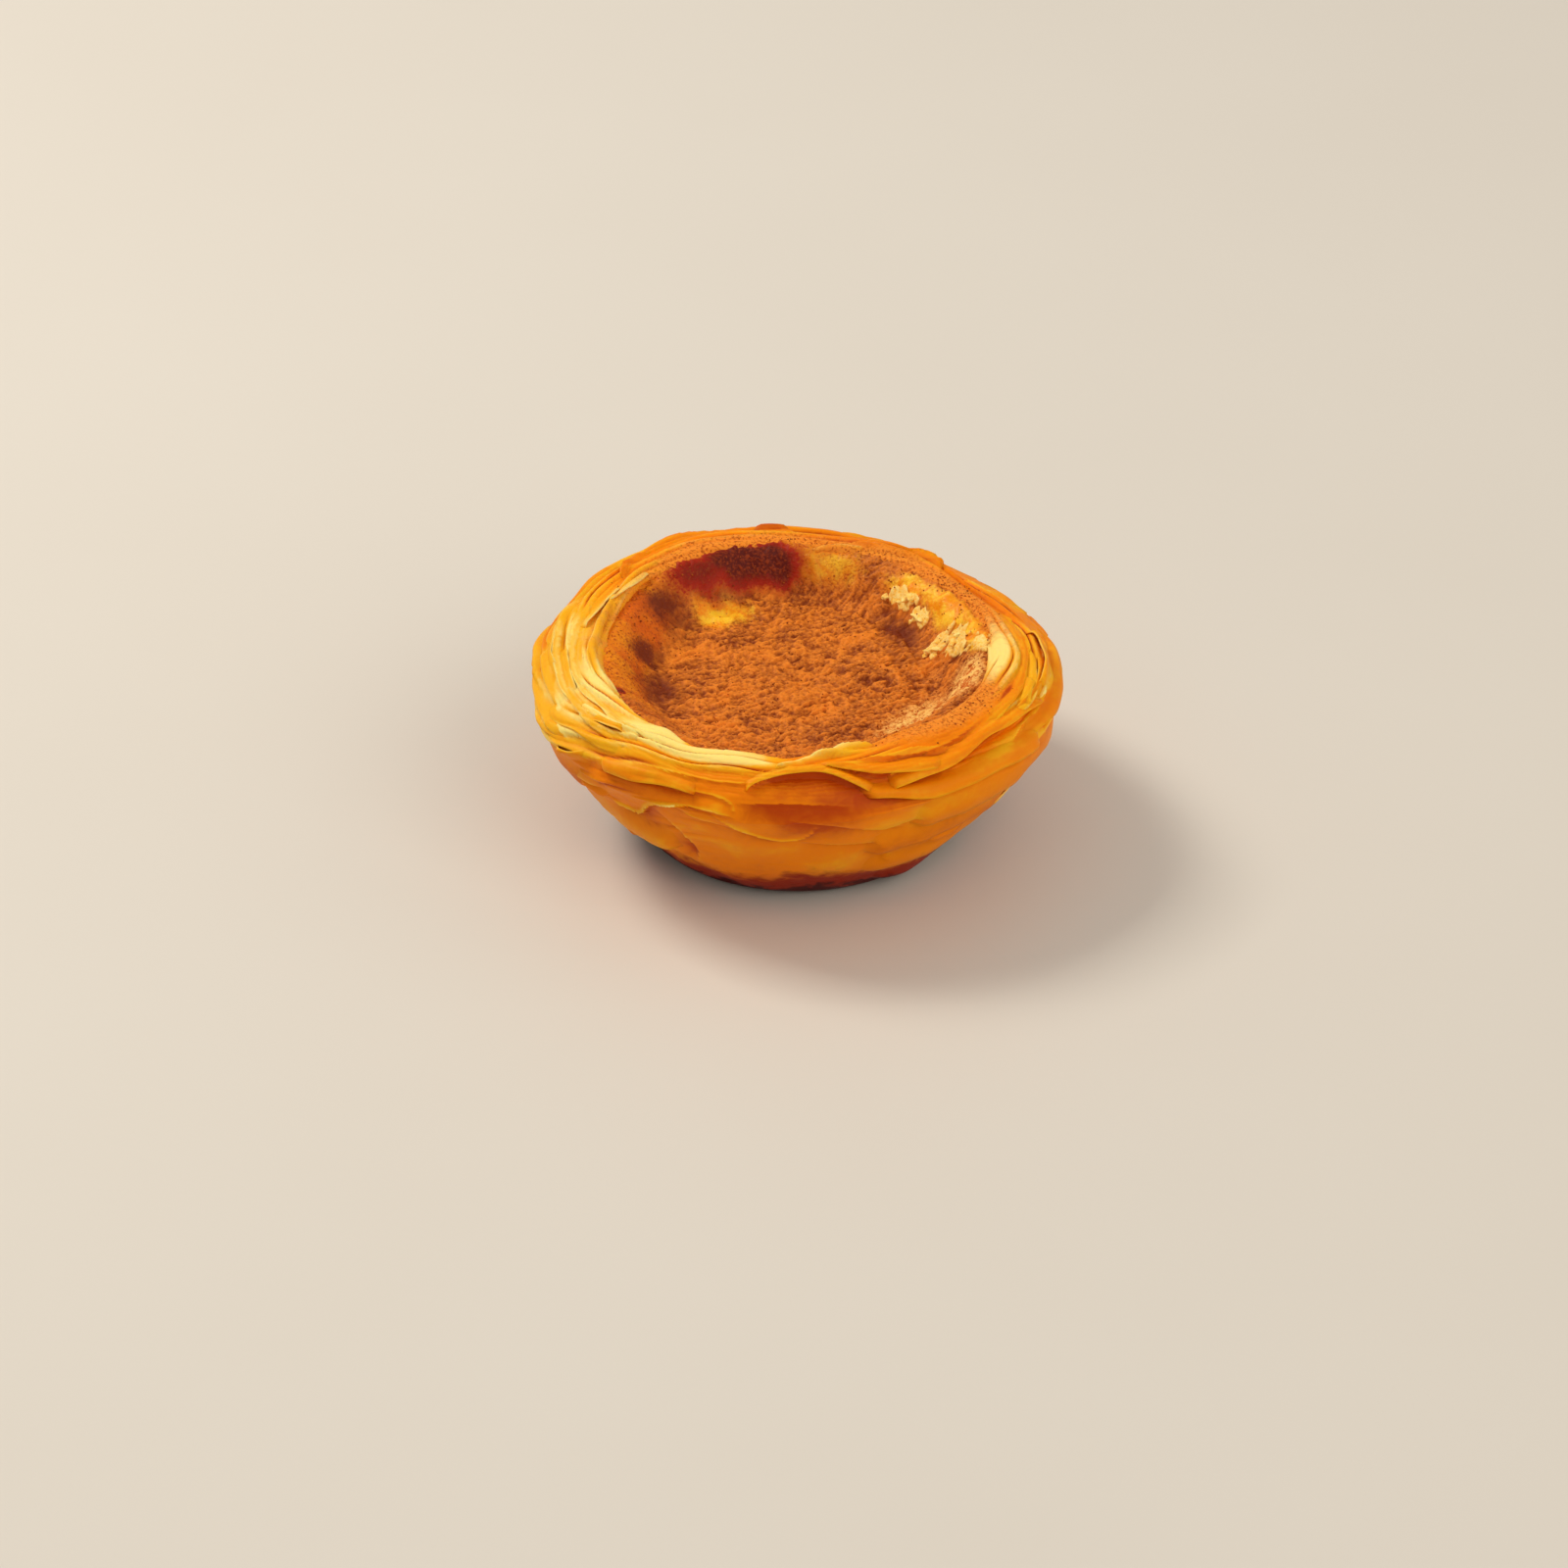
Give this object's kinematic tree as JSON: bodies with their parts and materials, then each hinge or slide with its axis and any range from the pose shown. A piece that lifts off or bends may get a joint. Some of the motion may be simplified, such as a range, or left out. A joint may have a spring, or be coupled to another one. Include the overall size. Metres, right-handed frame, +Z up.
{
  "type": "portuguese custard tart",
  "caption": "Round puff-pastry tart with a rolled, layered rim and flaky lapped side, filled with baked custard that sinks in the middle and is dusted with cinnamon.",
  "frame": {"origin": "centre of the flat base, where the tart rests", "axes": "+Z up through the middle of the tart; -Y towards the side that is shown to the viewer, +X to that viewer's right"},
  "size_m": [0.0746, 0.0748, 0.0292],
  "materials": {
    "baked_pastry": "buttery baked puff pastry, satin, golden with pale layer edges and browned patches",
    "browned_custard": "baked custard skin under a rough cinnamon dusting, matt, with scorched spots"
  },
  "bodies": {
    "root": {"pastry_case": "baked_pastry", "custard_filling": "browned_custard"}
  },
  "joints": []
}
